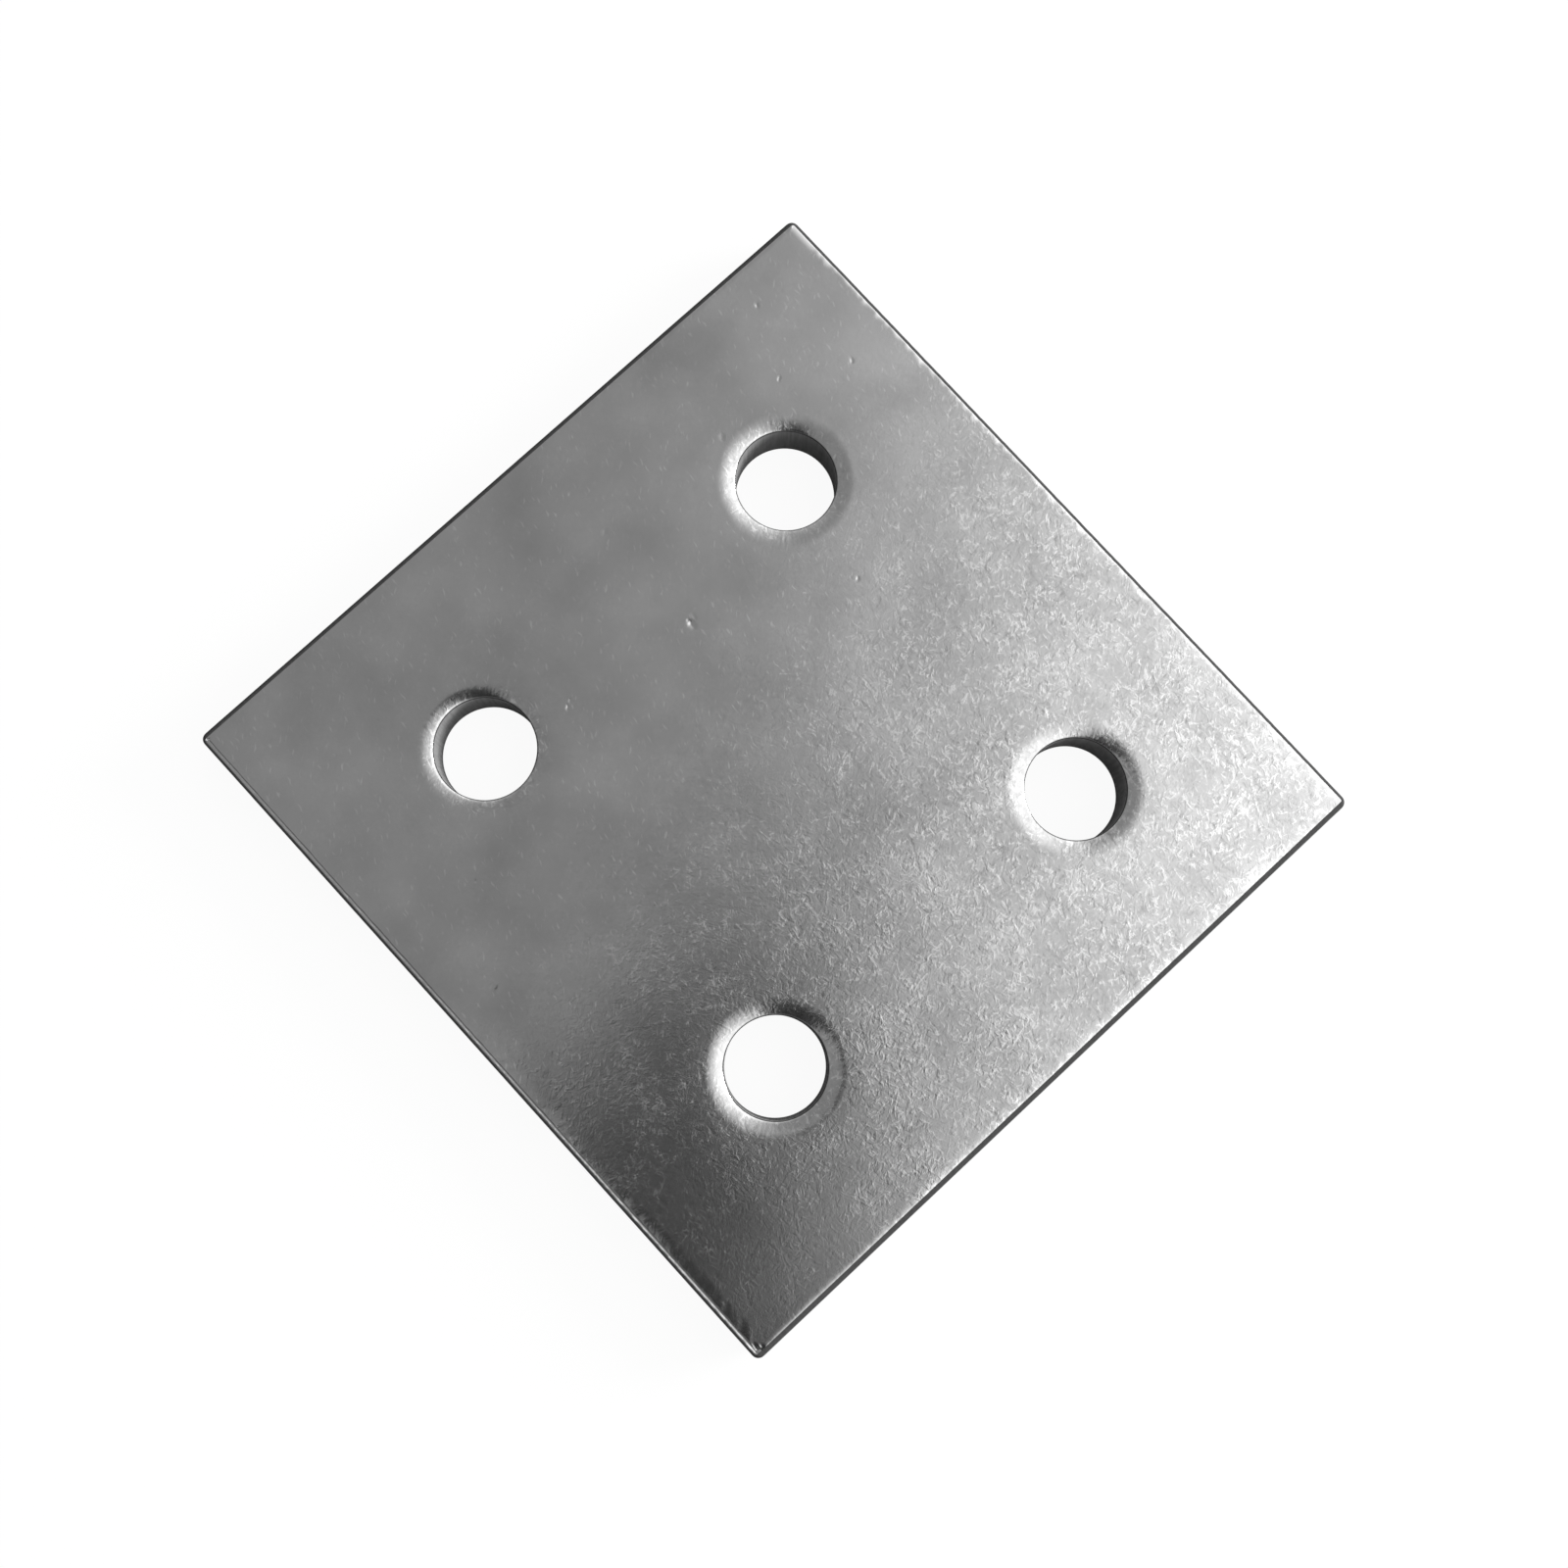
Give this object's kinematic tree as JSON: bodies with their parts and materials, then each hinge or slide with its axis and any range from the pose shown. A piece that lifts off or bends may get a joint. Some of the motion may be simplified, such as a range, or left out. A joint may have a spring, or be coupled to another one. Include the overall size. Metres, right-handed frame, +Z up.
{
  "type": "embed plate",
  "caption": "Flat, nearly square zinc-plated steel plate with punched, rolled-in anchor holes near its corners, for fixing brackets or posts to concrete.",
  "frame": {"origin": "centre of the underside", "axes": "+Z up out of the face the holes were punched from, +X along the length, +Y along the width"},
  "size_m": [0.1, 0.0974, 0.008],
  "materials": {
    "zinc_plated_steel": "bright zinc plating over rolled mild steel, satin and finely scratched"
  },
  "bodies": {
    "root": {"embed_plate": "zinc_plated_steel"}
  },
  "joints": []
}
